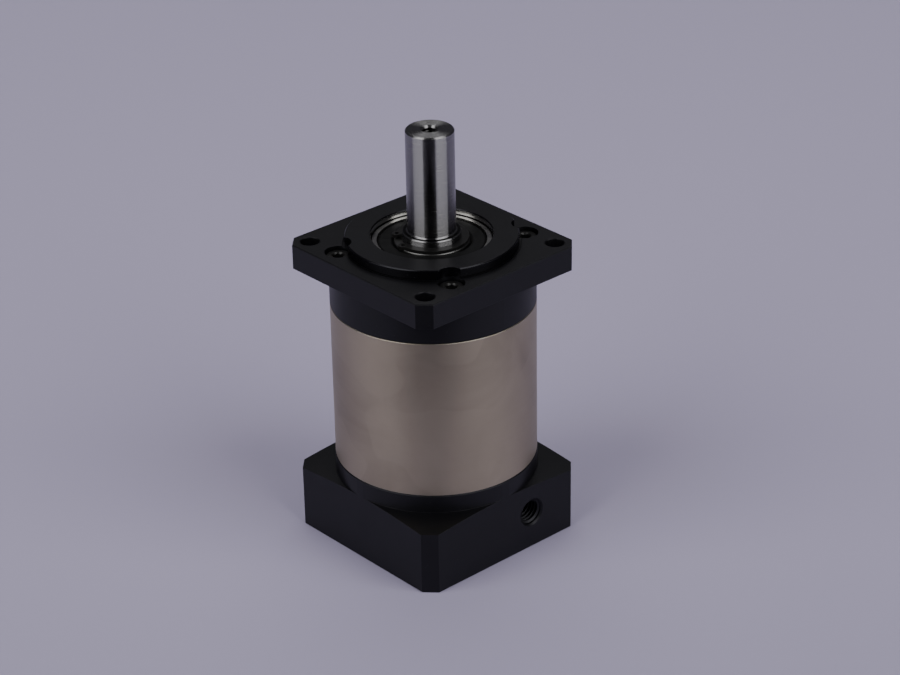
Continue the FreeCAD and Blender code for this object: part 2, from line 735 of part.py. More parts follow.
def circlip(label, groove, thickness, width, level, angle, opening, inward=False):
    """Open ring with two drilled lugs at its ends."""
    lug = size("circlip_lug")
    inner, outer = (groove - width, groove) if inward else (groove, groove + width)
    floor = vector(0, 0, level)
    ring = Part.makeCylinder(outer, thickness, floor).cut(Part.makeCylinder(inner, thickness, floor))
    reach = 2 * outer
    wedge = Part.makePolygon([vector(0, 0, level)] + [
        vector(reach * math.cos(turned), reach * math.sin(turned), level)
        for turned in (-opening, 0.0, opening)] + [vector(0, 0, level)])
    ring = ring.cut(Part.Face(wedge).extrude(vector(0, 0, thickness)))
    middle = inner + LUG_INSET * lug if inward else outer - LUG_INSET * lug
    lugs, holes = [], []
    for side in (-1, 1):
        turned = side * (opening + LUG_SPREAD * lug / middle)
        place = vector(middle * math.cos(turned), middle * math.sin(turned), level)
        lugs.append(Part.makeCylinder(lug, thickness, place))
        holes.append(Part.makeCylinder(LUG_HOLE * lug, thickness, place))
    keep_out = Part.makeCylinder(inner, thickness, floor)
    ring = ring.fuse(lugs)
    ring = ring.common(Part.makeCylinder(outer, thickness, floor)) if inward else ring.cut(keep_out)
    ring = ring.cut(holes).removeSplitter()
    ring.rotate(vector(0, 0, 0), vector(0, 0, 1), angle)
    keep(label, solid_feature(label, ring))


def retaining_rings():
    thickness, width = size("circlip_thickness"), size("circlip_width")
    opening = math.radians(size("circlip_opening"))
    circlip("shaft_circlip", size("output_bore_radius - circlip_groove"), thickness, width,
            size("front_top"), size("shaft_circlip_angle"), opening)
    circlip("input_shaft_circlip", size("input_bore_radius - circlip_groove"), thickness, width,
            size("adapter_top"), 90.0, opening)
    circlip("input_bearing_circlip", size("input_seat_radius + circlip_groove"), thickness, width,
            size("adapter_top"), -90.0, math.radians(size("inner_opening")), True)


def bearings():
    bearing("front_bearing", "output", "front_bottom", "front_top", -1)
    bearing("rear_bearing", "output", "rear_bottom", "rear_top", 1)
    bearing("input_bearing", "input", "seat_floor", "adapter_top", 1)
    seal_disc("front_bearing_seal", "output", "front_top", "-", "+")
    seal_disc("input_bearing_seal", "input", "seat_floor", "+", "-")
    spacer = turned_ring("bearing_spacer", "output_bore_radius", "output_bore_radius + spacer_wall",
                         "rear_top", "front_bottom")
    keep("bearing_spacer", spacer)
    groove = "spigot_radius - seal_depth"
    for label, level in (("adapter_joint_seal", "adapter_seal_bottom"),
                         ("flange_joint_seal", "output_seal_bottom")):
        keep(label, turned_ring(label, groove, "spigot_radius", level, f"{level} + seal_width"))


# Output shaft with the second planet carrier in one piece

def output_shaft():
    body = new_body("output_shaft")
    groove = "output_bore_radius - circlip_groove"
    turn(body, "shaft", [
        ("0", "carrier_two_bottom"), ("carrier_radius", "carrier_two_bottom"),
        ("carrier_radius", "disc_two_top"), ("output_bore_radius + shoulder_step", "disc_two_top"),
        ("output_bore_radius + shoulder_step", "rear_bottom"), ("output_bore_radius", "rear_bottom"),
        ("output_bore_radius", "front_top"), (groove, "front_top"),
        (groove, "front_top + circlip_thickness"), ("output_bore_radius", "front_top + circlip_thickness"),
        ("output_bore_radius", "collar_top - edge_break"), ("output_bore_radius - edge_break", "collar_top"),
        ("shaft_radius + shaft_root", "collar_top"), ("shaft_radius", "collar_top + shaft_root"),
        ("shaft_radius", "shaft_top - shaft_chamfer"),
        ("shaft_radius - shaft_chamfer", "shaft_top"), ("0", "shaft_top")])
    tap, sink = "shaft_tap_diameter / 2", "shaft_countersink / 2"
    drill_point = f"shaft_top - shaft_tap_depth - {tap} / tan(59)"
    turn(body, "centre_hole", [
        ("0", drill_point), (tap, "shaft_top - shaft_tap_depth"),
        (tap, f"shaft_top - ({sink} - {tap})"), (sink, "shaft_top"), (sink, "shaft_top + 1"),
        ("0", "shaft_top + 1")], "Groove")
    carrier_cage(body, "carrier_two_bottom", "plate_two_top", "disc_two_bottom", "disc_two_top - pin_setback")
    keep("output_shaft", body)


def carrier_cage(body, bottom, plate_top, disc_bottom, pin_top):
    turn(body, "sun_bore", [
        ("0", f"{bottom} - 1"), ("sun_bore_radius", f"{bottom} - 1"), ("sun_bore_radius", disc_bottom),
        ("0", disc_bottom)], "Groove")
    planet_holes(body, "windows", "window_radius", plate_top, f"{disc_bottom} - ({plate_top})")
    planet_holes(body, "pin_holes", "pin_radius", f"{bottom} - 1", f"{pin_top} - ({bottom}) + 1")


def stage_one_carrier():
    body = new_body("stage1_carrier")
    turn(body, "blank", [
        ("0", "carrier_one_bottom"), ("carrier_radius", "carrier_one_bottom"),
        ("carrier_radius", "disc_one_top"), ("0", "disc_one_top")])
    carrier_cage(body, "carrier_one_bottom", "plate_one_top", "disc_one_bottom", "disc_one_top - pin_setback")
    turn(body, "shank_hole", [
        ("0", "disc_one_bottom - 1"), ("sun_shank_diameter / 2", "disc_one_bottom - 1"),
        ("sun_shank_diameter / 2", "disc_one_top + 1"), ("0", "disc_one_top + 1")], "Groove")
    keep("stage1_carrier", body)


# Gears, pins, bushes and washers of one stage

def sun_phase_at(angle):
    pitch = 360.0 / round(size("sun_count"))
    return (-angle + pitch / 2) % pitch - pitch / 2


def planet_phase(angle):
    """Turn a planet so that its tooth spaces face the teeth of the sun."""
    shift = sun_phase_at(angle) * size("sun_count / planet_count")
    return math.radians(angle + 180 - shift + size("180 / planet_count"))


def ring_phase():
    """Turn the ring so that its tooth spaces take the teeth of the first planet."""
    step = 2 * math.pi / round(size("planet_count"))
    return (planet_phase(0.0) % step) * size("planet_count / ring_count")


def planet_gear(label, angle, bottom, top):
    wire = gear_wire(round(size("planet_count")), size("planet_tip_radius"), size("planet_root_radius"),
                     -size("backlash"), planet_phase(angle))
    gear = gear_solid(wire, bottom, top)
    gear = gear.cut(Part.makeCylinder(size("bush_radius"), top - bottom, vector(0, 0, bottom)))
    turned, reach = math.radians(angle), size("centre_distance")
    gear.translate(vector(reach * math.cos(turned), reach * math.sin(turned)))
    keep(label, solid_feature(label, gear))


def planet_stage(stage, bottom, top, carrier_bottom, pin_top):
    pins, washers = [], []
    for number, angle in enumerate(PLANET_ANGLES, 1):
        x, y = f"centre_distance * cos({angle})", f"centre_distance * sin({angle})"
        planet_gear(f"{stage}_planet_{number}", size(angle), size(bottom), size(top))
        bush = tube(f"{stage}_bush_{number}", "bush_bore_radius", "bush_radius", f"{top} - ({bottom})", x, y,
                    bottom)
        keep(f"{stage}_bush_{number}", bush)
        pins.append(cylinder(f"{stage}_pin_{number}", "pin_radius", f"{pin_top} - ({carrier_bottom})", x, y,
                             carrier_bottom))
        for side, level in (("lower", f"{bottom} - axial_play - washer_thickness"),
                            ("upper", f"{top} + axial_play")):
            washers.append(tube(f"{stage}_{side}_washer_{number}", "bush_bore_radius", "washer_diameter / 2",
                                "washer_thickness", x, y, level))
    keep(f"{stage}_planet_pins", group(f"{stage}_planet_pins", pins))
    keep(f"{stage}_thrust_washers", group(f"{stage}_thrust_washers", washers))


def sun_wire():
    return gear_wire(round(size("sun_count")), size("sun_tip_radius"), size("sun_root_radius"),
                     -size("backlash"))


def stage_two_sun():
    teeth = solid_feature("stage2_sun_teeth", gear_solid(sun_wire(), size("disc_one_top"),
                                                         size("planet_two_top")))
    shank = cylinder("stage2_sun_shank", "sun_shank_diameter / 2", "stage_one_disc + hub_chamfer",
                     z="disc_one_bottom")
    sun = doc.addObject("Part::Fuse", "stage2_sun_gear")
    sun.Base, sun.Tool = teeth, shank
    keep("stage2_sun_gear", sun)


# Input side: hollow hub with the first sun gear, clamp ring on the hub

def input_shaft():
    body = new_body("input_hub")
    groove = "input_bore_radius - circlip_groove"
    neck = "sun_root_radius - sun_neck_step"
    turn(body, "hub", [
        ("0", "hub_bottom"), ("hub_diameter / 2", "hub_bottom"), ("hub_diameter / 2", "clamp_top"),
        ("hub_shoulder_radius", "clamp_top"), ("hub_shoulder_radius", "seat_floor"),
        ("input_bore_radius", "seat_floor"), ("input_bore_radius", "adapter_top"), (groove, "adapter_top"),
        (groove, "adapter_top + circlip_thickness"), ("input_bore_radius", "adapter_top + circlip_thickness"),
        ("input_bore_radius", "spigot_top - hub_chamfer"), (neck, "spigot_top"),
        (neck, "planet_one_bottom + 1"), ("0", "planet_one_bottom + 1")])
    bore = "motor_shaft_bore / 2"
    turn(body, "motor_bore", [
        ("0", "hub_bottom - 1"), (bore, "hub_bottom - 1"), (bore, "seat_floor + motor_bore_end"),
        ("0", "seat_floor + motor_bore_end + 1")], "Groove")
    wide, far = "hub_slot / 2", "hub_diameter"
    for name, (x, y) in (("slot_across", (far, wide)), ("slot_along", (wide, far))):
        sketch = new_sketch(body, name + "_outline", "XY_Plane", "hub_bottom - 1")
        add_polygon(sketch, [(f"-{x}", f"-{y}"), (x, f"-{y}"), (x, y), (f"-{x}", y)])
        pocket_up(body, name, sketch, "clamp_top - hub_slot_rest - hub_bottom + 1")
    teeth = gear_solid(sun_wire(), size("plate_one_top - 1"), size("planet_one_top"))
    shaft = doc.addObject("Part::Fuse", "input_sun_shaft")
    shaft.Base, shaft.Tool = body, solid_feature("stage1_sun_teeth", teeth)
    keep("input_sun_shaft", shaft)


def clamp_ring():
    body = turned_ring("clamp_ring", "hub_diameter / 2", "clamp_ring_radius", "clamp_bottom", "clamp_top",
                       "edge_break")
    slit = new_sketch(body, "slit_outline", "XY_Plane", "clamp_bottom - 1")
    half = "clamp_slit / 2"
    across = "2 * clamp_ring_radius"
    add_polygon(slit, [(f"-{half}", "0"), (half, "0"), (half, across), (f"-{half}", across)])
    pocket_up(body, "slit", slit, "clamp_ring_width + 2")
    for name, radius, start in (("screw_hole", "screw_radius", "-clamp_ring_radius"),
                                ("head_seat", "clamp_head_radius", "clamp_head_seat")):
        circle = new_sketch(body, name + "_circle", "YZ_Plane", start)
        add_circle(circle, "clamp_offset", "clamp_height", radius)
        pocket_up(body, name, circle, across)
    keep("clamp_ring", body)


def build():
    motor_adapter()
    ring_gear_housing()
    output_housing()
    fasteners()
    bearings()
    retaining_rings()
    output_shaft()
    stage_one_carrier()
    planet_stage("stage1", "planet_one_bottom", "planet_one_top", "carrier_one_bottom",
                 "disc_one_top - pin_setback")
    planet_stage("stage2", "planet_two_bottom", "planet_two_top", "carrier_two_bottom",
                 "disc_two_top - pin_setback")
    stage_two_sun()
    input_shaft()
    clamp_ring()
    doc.recompute()


def check_and_export():
    faulty = [thing.Name for thing in doc.Objects if {"Invalid", "Error"} & set(thing.State)]
    for label, thing in nodes.items():
        if thing.Shape.isNull() or not thing.Shape.isValid() or not thing.Shape.Solids:
            faulty.append(label)
    if faulty:
        raise RuntimeError("faulty pieces: " + ", ".join(faulty))
    os.makedirs("parts", exist_ok=True)
    for label, thing in nodes.items():
        thing.Shape.exportStep(f"parts/{label}.step")
        box = thing.Shape.BoundBox
        print(f"{label:26s} solids {len(thing.Shape.Solids):2d}  volume {thing.Shape.Volume:10.1f}  "
              f"z {box.ZMin:7.2f} to {box.ZMax:7.2f}  width {box.XLength:6.2f} x {box.YLength:6.2f}")


build()
check_and_export()
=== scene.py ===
import json
import math

import bmesh
import bpy
from mathutils import Matrix, Vector


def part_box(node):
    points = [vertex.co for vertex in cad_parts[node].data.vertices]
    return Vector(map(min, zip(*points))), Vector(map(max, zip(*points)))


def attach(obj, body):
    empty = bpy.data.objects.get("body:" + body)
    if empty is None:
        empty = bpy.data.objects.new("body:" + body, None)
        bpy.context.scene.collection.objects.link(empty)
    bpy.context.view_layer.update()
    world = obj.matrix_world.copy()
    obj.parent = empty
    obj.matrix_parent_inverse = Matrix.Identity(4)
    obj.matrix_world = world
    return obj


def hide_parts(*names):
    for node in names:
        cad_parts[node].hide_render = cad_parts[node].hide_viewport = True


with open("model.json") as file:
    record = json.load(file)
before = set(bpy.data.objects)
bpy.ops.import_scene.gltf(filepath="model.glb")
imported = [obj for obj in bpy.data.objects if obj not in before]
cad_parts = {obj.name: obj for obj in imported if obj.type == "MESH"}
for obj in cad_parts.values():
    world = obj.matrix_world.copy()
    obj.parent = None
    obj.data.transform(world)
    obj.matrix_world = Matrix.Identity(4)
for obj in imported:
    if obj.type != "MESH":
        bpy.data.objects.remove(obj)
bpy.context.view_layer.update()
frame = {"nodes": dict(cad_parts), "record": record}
mounts = {mount["name"]: mount for mount in frame["record"]["mounts"]}
print("stage: frame loaded,", len(frame["nodes"]), "nodes")


def mountRadius(name):
    return mounts[name]["dims"]["r_mm"] / 1000


# Small helpers for working as by hand: pick one object, edges by their place, faces by the way they point

mergeDistance = 0.000001


def selectOnly(piece):
    if bpy.context.object and bpy.context.object.mode != "OBJECT":
        bpy.ops.object.mode_set(mode="OBJECT")
    bpy.ops.object.select_all(action="DESELECT")
    if piece:
        piece.select_set(True)
        bpy.context.view_layer.objects.active = piece


def pickEdges(piece, wanted):
    mesh = bmesh.from_edit_mesh(piece.data)
    bpy.ops.mesh.select_mode(type="EDGE")
    bpy.ops.mesh.select_all(action="DESELECT")
    for edge in mesh.edges:
        edge.select_set(wanted(*(corner.co for corner in edge.verts)))
    bmesh.update_edit_mesh(piece.data)


def pickFaces(piece, wanted):
    mesh = bmesh.from_edit_mesh(piece.data)
    bpy.ops.mesh.select_mode(type="FACE")
    bpy.ops.mesh.select_all(action="DESELECT")
    for face in mesh.faces:
        face.select_set(wanted(face.normal))
    bmesh.update_edit_mesh(piece.data)


def carve(piece, cutter):
    selectOnly(piece)
    bpy.ops.object.modifier_add(type="BOOLEAN")
    piece.modifiers[-1].object = cutter
    piece.modifiers[-1].operation = "DIFFERENCE"
    bpy.ops.object.modifier_apply(modifier=piece.modifiers[-1].name)
    bpy.data.objects.remove(cutter)
    bpy.ops.object.mode_set(mode="EDIT")
    bpy.ops.mesh.select_all(action="SELECT")
    bpy.ops.mesh.remove_doubles(threshold=mergeDistance)
    bpy.ops.mesh.dissolve_degenerate(threshold=mergeDistance)
    bpy.ops.object.mode_set(mode="OBJECT")


def settle(piece, smoothAngle):
    selectOnly(piece)
    bpy.ops.object.transform_apply(location=True, rotation=True, scale=True)
    bpy.ops.object.shade_smooth_by_angle(angle=math.radians(smoothAngle))


# Helpers for shader nodes

def addNode(tree, kind, inputs=None, **settings):
    node = tree.nodes.new(kind)
    for label, value in settings.items():
        setattr(node, label, value)
    for label, value in (inputs or {}).items():
        if hasattr(value, "is_output"):
            tree.links.new(value, node.inputs[label])
        else:
            node.inputs[label].default_value = value
    return node


def sums(tree, operation, *values):
    return addNode(tree, "ShaderNodeMath", dict(enumerate(values)), operation=operation).outputs[0]


def vectors(tree, operation, *values):
    return addNode(tree, "ShaderNodeVectorMath", dict(enumerate(values)), operation=operation).outputs


def scaled(tree, vector, scale):
    inputs = {0: vector, "Scale": scale}
    return addNode(tree, "ShaderNodeVectorMath", inputs, operation="SCALE").outputs["Vector"]


def noise(tree, place, scale, detail, distortion=0.0):
    inputs = {"Vector": place, "Scale": scale, "Detail": detail, "Distortion": distortion}
    return addNode(tree, "ShaderNodeTexNoise", inputs).outputs["Fac"]


def stretch(tree, value, start, end, **settings):
    inputs = {"Value": value, "From Min": start, "From Max": end}
    return addNode(tree, "ShaderNodeMapRange", inputs, **settings).outputs["Result"]


def rangeOf(tree, mask, low, high):
    inputs = {"Value": mask, "To Min": low, "To Max": high}
    return addNode(tree, "ShaderNodeMapRange", inputs).outputs["Result"]


def mixValues(tree, mask, low, high):
    return addNode(tree, "ShaderNodeMix", {0: mask, 2: low, 3: high}).outputs[0]


def mixColours(tree, mask, low, high):
    # of a mix node's many sockets, 6 and 7 are its two colours and 2 is the colour that comes out
    low, high = (colour if hasattr(colour, "is_output") else (*colour, 1) for colour in (low, high))
    return addNode(tree, "ShaderNodeMix", {0: mask, 6: low, 7: high}, data_type="RGBA").outputs[2]


# Camera at the photograph's angle

photoCamera = {
    "azimuth": 48.275, "elevation": 27.399, "roll": -1.078,
    "distance": 0.775471, "lens": 106.659, "sensor": 36.0,
    "aimAside": 0.004622, "aimHeight": 0.062158, "clipStart": 0.01, "clipEnd": 50,
}


def placeCamera():
    spec = photoCamera
    turn, rise = math.radians(spec["azimuth"]), math.radians(spec["elevation"])
    roll = math.radians(spec["roll"])
    back = Vector((math.sin(turn) * math.cos(rise), -math.cos(turn) * math.cos(rise), math.sin(rise)))
    right = Vector((math.cos(turn), math.sin(turn), 0))
    up = back.cross(right)
    aim = Vector((0, 0, spec["aimHeight"])) + right * spec["aimAside"]
    rolledRight = right * math.cos(roll) + up * math.sin(roll)
    rolledUp = up * math.cos(roll) - right * math.sin(roll)
    bpy.ops.object.camera_add(location=(0, 0, 0))
    camera = bpy.context.object
    camera.name = "photoCamera"
    camera.data.lens = spec["lens"]
    camera.data.sensor_width = spec["sensor"]
    camera.data.clip_start, camera.data.clip_end = spec["clipStart"], spec["clipEnd"]
    axes = Matrix((rolledRight, rolledUp, back)).transposed().to_4x4()
    camera.matrix_world = Matrix.Translation(aim + back * spec["distance"]) @ axes
    bpy.context.scene.camera = camera


selectOnly(None)
placeCamera()
print("stage: camera placed")


# Studio: pale cloth floor, two upright soft boxes beside the camera, a weak fill high behind,
# a dark sheet before the part that paints dark reflections, and a dim sky with a glow behind. Turns are
# counted from the camera

behindPart = 180
clothFloor = {"size": 7.0}
softBoxes = {
    "width": 1.53, "height": 3.3, "distance": 1.50, "power": 40.5,
    "leftTurn": -56.0, "rightTurn": 53.5,
}
topFill = {"width": 1.3, "height": 1.0, "distance": 1.7, "rise": 60.0, "power": 5.6}
darkCard = {"turn": -4.5, "distance": 0.17, "width": 0.178, "height": 0.5}
studioSky = {
    "sky": (0.052, 0.051, 0.058), "glow": (0.078, 0.076, 0.086),
    "rise": 24.0, "glowFrom": 0.70, "glowTo": 0.98,
}


def around(turnFromCamera, distance, height):
    turn = math.radians(photoCamera["azimuth"] + turnFromCamera)
    return Vector((math.sin(turn) * distance, -math.cos(turn) * distance, height))


def raised(turnFromCamera, distance, riseAngle):
    rise = math.radians(riseAngle)
    return around(turnFromCamera, distance * math.cos(rise), distance * math.sin(rise))


def addLight(name, spec, place, aim):
    bpy.ops.object.light_add(type="AREA", location=place)
    light = bpy.context.object
    light.name = name
    light.data.shape = "RECTANGLE"
    light.data.size, light.data.size_y = spec["width"], spec["height"]
    light.data.energy = spec["power"]
    light.rotation_euler = (place - aim).to_track_quat("Z", "Y").to_euler()


def layFloor():
    bpy.ops.mesh.primitive_plane_add(size=clothFloor["size"], location=(0, 0, 0))
    floor = bpy.context.object
    floor.name = "clothFloor"
    return floor


def setLights():
    spec = softBoxes
    for name, turn in (("leftSoftBox", spec["leftTurn"]), ("rightSoftBox", spec["rightTurn"])):
        place = around(turn, spec["distance"], spec["height"] / 2)
        addLight(name, spec, place, Vector((0, 0, place.z)))
    place = raised(behindPart, topFill["distance"], topFill["rise"])
    addLight("topFill", topFill, place, Vector((0, 0, 0)))


def hangCard():
    # only reflections show it: a painted dark reflection standing in for the unlit surroundings on the
    # camera's side
    spec = darkCard
    place = around(spec["turn"], spec["distance"], spec["height"] / 2)
    bpy.ops.mesh.primitive_plane_add(size=1, location=place)
    card = bpy.context.object
    card.name = "darkCard"
    card.scale = (spec["width"], spec["height"], 1)
    card.rotation_euler = place.xy.to_3d().to_track_quat("Z", "Y").to_euler()
    card.visible_camera = card.visible_diffuse = card.visible_shadow = card.visible_transmission = False
    return card


def paintSky():
    spec = studioSky
    world = bpy.data.worlds.new("studioSky")
    bpy.context.scene.world = world
    world.use_nodes = True
    tree = world.node_tree
    way = addNode(tree, "ShaderNodeTexCoord").outputs["Generated"]
    match = vectors(tree, "DOT_PRODUCT", way, raised(behindPart, 1, spec["rise"]))["Value"]
    glow = stretch(tree, match, spec["glowFrom"], spec["glowTo"], interpolation_type="SMOOTHSTEP")
    colour = mixColours(tree, glow, spec["sky"], spec["glow"])
    tree.links.new(colour, tree.nodes["Background"].inputs["Color"])


floor = layFloor()
setLights()
card = hangCard()
paintSky()
print("stage: floor and lights set")


# Shader effects shared by the finishes

def newEffect(name, inputs, outputs):
    tree = bpy.data.node_groups.new(name, "ShaderNodeTree")
    for label, value in inputs.items():
        socket = tree.interface.new_socket(label, in_out="INPUT", socket_type="NodeSocketFloat")
        socket.default_value = value
    for label in outputs:
        kind = "NodeSocketVector" if label == "Rounded" else "NodeSocketFloat"
        tree.interface.new_socket(label, in_out="OUTPUT", socket_type=kind)
    return tree, tree.nodes.new("NodeGroupInput").outputs, tree.nodes.new("NodeGroupOutput").inputs


def objectPlace(tree):
    return addNode(tree, "ShaderNodeTexCoord").outputs["Object"]


blastGrain = {"Grain Scale": 9000, "Cloud Scale": 90}
blastGrainDetail = {"grain": 2.0, "clouds": 5.0}


def blastGrainEffect():
    # fine matt grain of blasted and dyed aluminium, with a slower unevenness below it
    tree, given, result = newEffect("blastGrain", blastGrain, ("Height", "Clouds"))
    place = objectPlace(tree)
    grain = noise(tree, place, given["Grain Scale"], blastGrainDetail["grain"])
    clouds = noise(tree, place, given["Cloud Scale"], blastGrainDetail["clouds"])
    tree.links.new(grain, result["Height"])
    tree.links.new(clouds, result["Clouds"])
    return tree


turnedLines = {"Line Scale": 9000, "Wander": 0.6}
turnedLinesDetail = {"lines": 3.0, "streaks": 4.0, "streakScale": 0.07}


def turnedLinesEffect():
    # lines left by turning or grinding: rings round the axis on both the sides and the end faces
    spec = turnedLinesDetail
    tree, given, result = newEffect("turnedLines", turnedLines, ("Height", "Streaks"))
    split = addNode(tree, "ShaderNodeSeparateXYZ", {0: objectPlace(tree)}).outputs
    flat = addNode(tree, "ShaderNodeCombineXYZ", {"X": split["X"], "Y": split["Y"]}).outputs[0]
    radius = vectors(tree, "LENGTH", flat)["Value"]
    wander = scaled(tree, vectors(tree, "NORMALIZE", flat)["Vector"], given["Wander"])
    depth = sums(tree, "MULTIPLY", sums(tree, "ADD", split["Z"], radius), given["Line Scale"])
    lift = addNode(tree, "ShaderNodeCombineXYZ", {"Z": depth}).outputs[0]
    rings = vectors(tree, "ADD", wander, lift)["Vector"]
    lines = noise(tree, rings, 1.0, spec["lines"])
    streaks = noise(tree, scaled(tree, rings, spec["streakScale"]), 1.0, spec["streaks"])
    tree.links.new(lines, result["Height"])
    tree.links.new(streaks, result["Streaks"])
    return tree


handlingMarks = {"Smudge Scale": 60, "Stain Scale": 40, "Speck Scale": 1400, "Speck Share": 0.12}
handlingMarksDetail = {
    "smudge": 4.0, "smudgeTwist": 0.8, "smudgeFrom": 0.38, "smudgeTo": 0.68,
    "patch": 1.0, "patchScale": 300.0, "patchFrom": 0.60,
    "stain": 1.0, "stainFrom": 0.52, "stainTo": 0.535,
}


def handlingMarksEffect():
    # soft smudges from hands and packing, drying marks with a clear border, and a few sparse fine specks
    spec = handlingMarksDetail
    tree, given, result = newEffect("handlingMarks", handlingMarks, ("Smudges", "Stains", "Specks"))
    place = objectPlace(tree)
    smudges = noise(tree, place, given["Smudge Scale"], spec["smudge"], spec["smudgeTwist"])
    smudges = stretch(tree, smudges, spec["smudgeFrom"], spec["smudgeTo"])
    cells = addNode(tree, "ShaderNodeTexVoronoi", {"Vector": place, "Scale": given["Speck Scale"]})
    dots = sums(tree, "LESS_THAN", cells.outputs["Distance"], given["Speck Share"])
    patches = noise(tree, place, spec["patchScale"], spec["patch"])
    sparse = sums(tree, "GREATER_THAN", patches, spec["patchFrom"])
    drops = noise(tree, place, given["Stain Scale"], spec["stain"])
    drops = stretch(tree, drops, spec["stainFrom"], spec["stainTo"])
    tree.links.new(smudges, result["Smudges"])
    tree.links.new(sums(tree, "MULTIPLY", drops, smudges), result["Stains"])
    tree.links.new(sums(tree, "MULTIPLY", dots, sparse), result["Specks"])
    return tree


edgeWear = {"Reach": 0.0002, "Amount": 1.0}
edgeWearDetail = {
    "samples": 4, "wornFrom": 0.995, "wornTo": 0.86,
    "chip": 3.0, "chipScale": 700.0, "chipFrom": 0.36, "chipTo": 0.62,
}


def edgeWearEffect():
    # thin worn line where a surface turns a corner, broken up by a fine noise,
    # and the corner's rounded normal; on the black anodise the lighter line is partly a painted edge
    # highlight
    spec = edgeWearDetail
    tree, given, result = newEffect("edgeWear", edgeWear, ("Wear", "Rounded"))
    plain = addNode(tree, "ShaderNodeNewGeometry").outputs["Normal"]
    corner = addNode(tree, "ShaderNodeBevel", {"Radius": given["Reach"]}, samples=spec["samples"])
    rounded = corner.outputs["Normal"]
    match = vectors(tree, "DOT_PRODUCT", plain, rounded)["Value"]
    edge = stretch(tree, match, spec["wornFrom"], spec["wornTo"])
    chips = noise(tree, objectPlace(tree), spec["chipScale"], spec["chip"])
    broken = sums(tree, "MULTIPLY", edge, stretch(tree, chips, spec["chipFrom"], spec["chipTo"]))
    tree.links.new(sums(tree, "MULTIPLY", broken, given["Amount"]), result["Wear"])
    tree.links.new(rounded, result["Rounded"])
    return tree


def boreMaskEffect():
    # one inside a cylinder round the axis and between two levels, nothing outside it
    tree, given, result = newEffect("boreMask", {"Radius": 0.01, "Low": 0.0, "High": 0.1}, ("Inside",))
    place = objectPlace(tree)
    radius = vectors(tree, "LENGTH", vectors(tree, "MULTIPLY", place, (1, 1, 0))["Vector"])["Value"]
    level = addNode(tree, "ShaderNodeSeparateXYZ", {0: place}).outputs["Z"]
    above = sums(tree, "GREATER_THAN", level, given["Low"])
    below = sums(tree, "LESS_THAN", level, given["High"])
    within = sums(tree, "LESS_THAN", radius, given["Radius"])
    tree.links.new(sums(tree, "MULTIPLY", within, sums(tree, "MULTIPLY", above, below)), result["Inside"])
    return tree


effects = {"grain": blastGrainEffect(), "lines": turnedLinesEffect(), "marks": handlingMarksEffect(),
           "wear": edgeWearEffect(), "bore": boreMaskEffect()}


# Finishes, one for each material slot of the record. In a finish's settings, "shader" is set on the
# Principled BSDF, "bump" on its Bump node, and each effect's own entry on that effect

def startFinish(name, constants):
    material = bpy.data.materials.new(name)
    material.use_nodes = True
    shader = material.node_tree.nodes["Principled BSDF"]
    for label, value in constants.items():
        shader.inputs[label].default_value = value
    return material, material.node_tree, shader


def useEffect(tree, effect, values):
    return addNode(tree, "ShaderNodeGroup", values, node_tree=effects[effect]).outputs


def boreMask(tree, radius, low, high):
    return useEffect(tree, "bore", {"Radius": radius, "Low": low, "High": high})["Inside"]


def finish(tree, shader, colour, roughness, height, bump, rounded=None):
    tree.links.new(colour, shader.inputs["Base Color"])
    tree.links.new(roughness, shader.inputs["Roughness"])
    relief = addNode(tree, "ShaderNodeBump", {"Height": height, **bump})
    if rounded:
        tree.links.new(rounded, relief.inputs["Normal"])
    tree.links.new(relief.outputs["Normal"], shader.inputs["Normal"])


quarterTurn = 0.25


def turnTangent(tree, shader):
    # gloss drawn out across lines that run round the axis
    tangent = addNode(tree, "ShaderNodeTangent", direction_type="RADIAL", axis="Z")
    tree.links.new(tangent.outputs["Tangent"], shader.inputs["Tangent"])
    shader.inputs["Anisotropic Rotation"].default_value = quarterTurn


blackAnodise = {
    "shader": {"Metallic": 0.0, "Specular IOR Level": 0.30, "Specular Tint": (0.90, 0.89, 1.0, 1)},
    "deep": (0.0011, 0.0011, 0.0014), "worn": (0.0022, 0.0021, 0.0027),
    # edge: a lighter line at the corners, partly worn anodise and partly a painted highlight
    "edge": (0.008, 0.0078, 0.009), "speck": (0.03, 0.03, 0.034), "smooth": 0.42, "rough": 0.49,
    "grain": {"Grain Scale": 11000, "Cloud Scale": 70},
    "marks": {"Smudge Scale": 48, "Speck Scale": 1100, "Speck Share": 0.10},
    "wear": {"Reach": 0.00018, "Amount": 0.7},
    "bump": {"Strength": 0.16, "Distance": 0.00003},
}


def makeBlackAnodise(name="blackAnodise"):
    spec = blackAnodise
    material, tree, shader = startFinish(name, spec["shader"])
    grain = useEffect(tree, "grain", spec["grain"])
    marks = useEffect(tree, "marks", spec["marks"])
    wear = useEffect(tree, "wear", spec["wear"])
    colour = mixColours(tree, grain["Clouds"], spec["deep"], spec["worn"])
    colour = mixColours(tree, marks["Specks"], colour, spec["speck"])
    # the lighter edge line: partly wear, partly a painted highlight
    colour = mixColours(tree, wear["Wear"], colour, spec["edge"])
    rough = rangeOf(tree, marks["Smudges"], spec["smooth"], spec["rough"])
    finish(tree, shader, colour, rough, grain["Height"], spec["bump"], wear["Rounded"])
    return material


pilotWall = {"gap": 0.0001, "roughness": 0.20}
bareSeat = {
    "slack": 0.00002, "footGap": 0.00028, "rimGap": 0.0004,
    "colour": (0.46, 0.455, 0.44), "roughness": 0.14,
    "lines": {"Line Scale": 9000, "Wander": 0.8},
    "bump": {"Strength": 1.0, "Distance": 0.00002},
}


